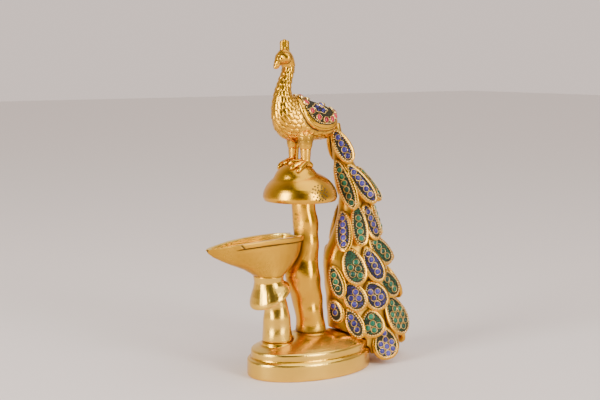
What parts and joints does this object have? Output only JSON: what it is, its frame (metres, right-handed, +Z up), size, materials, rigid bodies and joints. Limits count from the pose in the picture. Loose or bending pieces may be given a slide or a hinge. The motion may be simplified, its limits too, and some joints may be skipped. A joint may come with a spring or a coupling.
{
  "type": "brass standing oil lamp",
  "caption": "Cast brass oil lamp: a peacock with a stone-set feather train perches on a mushroom, and a small mushroom in front carries a boat-shaped oil bowl, on an oval stepped base.",
  "frame": {"origin": "middle of the lamp's length and width, on the table under the base", "axes": "+Z up, -X the way the beak and the spout point, +X towards the train, Y across"},
  "size_m": [0.2082, 0.078, 0.2808],
  "materials": {
    "cast_brass": "satin, brown patina in the hollows",
    "wire_brass": "satin, bright on the beads",
    "fixing_brass": "as turned, dull",
    "stone_blue": "polished cabochon, cloudy",
    "stone_green": "polished cabochon, cloudy",
    "stone_red": "polished cabochon, cloudy",
    "mastic": "matt, grainy"
  },
  "bodies": {
    "root": {"base_plinth": "cast_brass", "mushroom_stalk": "cast_brass", "mushroom_cap": "cast_brass", "small_stalk": "cast_brass", "small_cap": "cast_brass", "diya_bowl": "cast_brass", "peacock_body": "cast_brass", "crest": "cast_brass", "left_leg": "cast_brass", "right_leg": "cast_brass", "saddle_plate": "cast_brass", "saddle_mastic": "mastic", "train_core": "cast_brass", "stalk_tie_rod": "fixing_brass", "diya_tie_rod": "fixing_brass", "train_screw": "fixing_brass", "fixing_nuts": "fixing_brass", "fixing_washers": "fixing_brass", "blue_stones": "stone_blue", "green_stones": "stone_green", "red_stones": "stone_red", "bezel_rings": "wire_brass", "beaded_wires": "wire_brass", "mastic_beds": "mastic", "feather_01": "cast_brass", "feather_02": "cast_brass", "feather_03": "cast_brass", "feather_04": "cast_brass", "feather_05": "cast_brass", "feather_06": "cast_brass", "feather_07": "cast_brass", "feather_08": "cast_brass", "feather_09": "cast_brass", "feather_10": "cast_brass", "feather_11": "cast_brass", "feather_12": "cast_brass", "feather_13": "cast_brass", "feather_14": "cast_brass", "feather_15": "cast_brass", "feather_16": "cast_brass", "feather_17": "cast_brass", "feather_18": "cast_brass", "feather_19": "cast_brass", "feather_20": "cast_brass", "feather_21": "cast_brass", "feather_22": "cast_brass", "feather_23": "cast_brass", "feather_24": "cast_brass", "feather_25": "cast_brass", "feather_26": "cast_brass", "feather_27": "cast_brass"}
  },
  "joints": []
}
